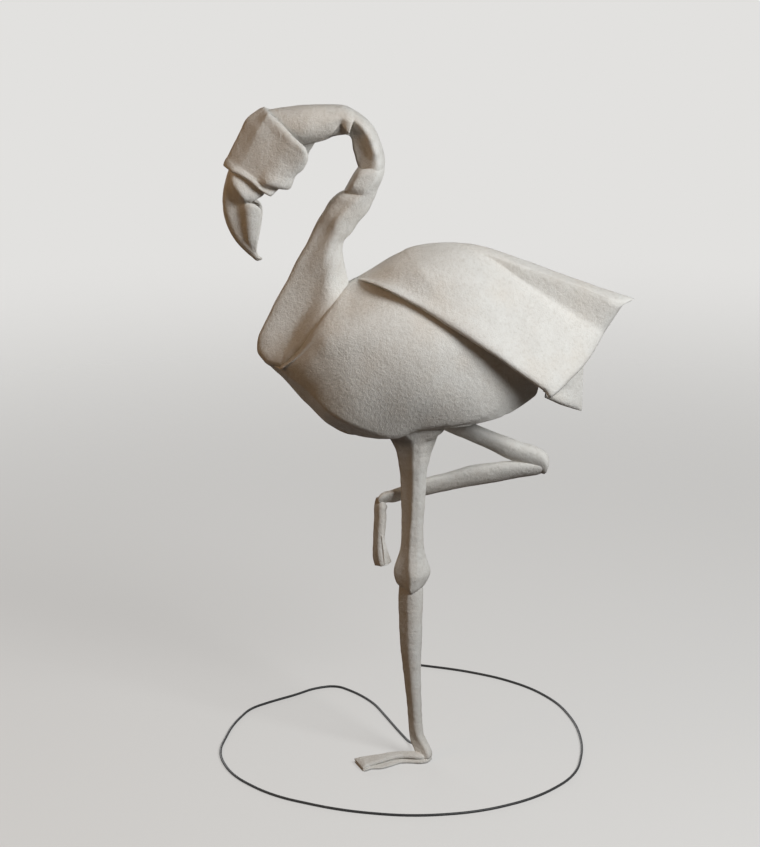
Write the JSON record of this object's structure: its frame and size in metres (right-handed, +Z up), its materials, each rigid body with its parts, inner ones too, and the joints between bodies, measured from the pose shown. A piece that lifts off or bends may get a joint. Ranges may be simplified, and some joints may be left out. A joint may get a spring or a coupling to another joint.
{
  "type": "origami flamingo",
  "caption": "Flamingo folded from heavy off-white paper, standing on a straight leg with the other leg raised, held up by a bent wire ring on the floor.",
  "frame": {"origin": "on the floor, at the middle of the wire ring", "axes": "+X towards the tail, +Y to the bird's right, +Z up"},
  "size_m": [0.1529, 0.143, 0.25],
  "materials": {
    "heavy_paper": "matt, felted off-white paper",
    "black_wire": "black, faint sheen"
  },
  "bodies": {
    "root": {"folded_paper_flamingo": "heavy_paper", "wire_stand": "black_wire"}
  },
  "joints": []
}
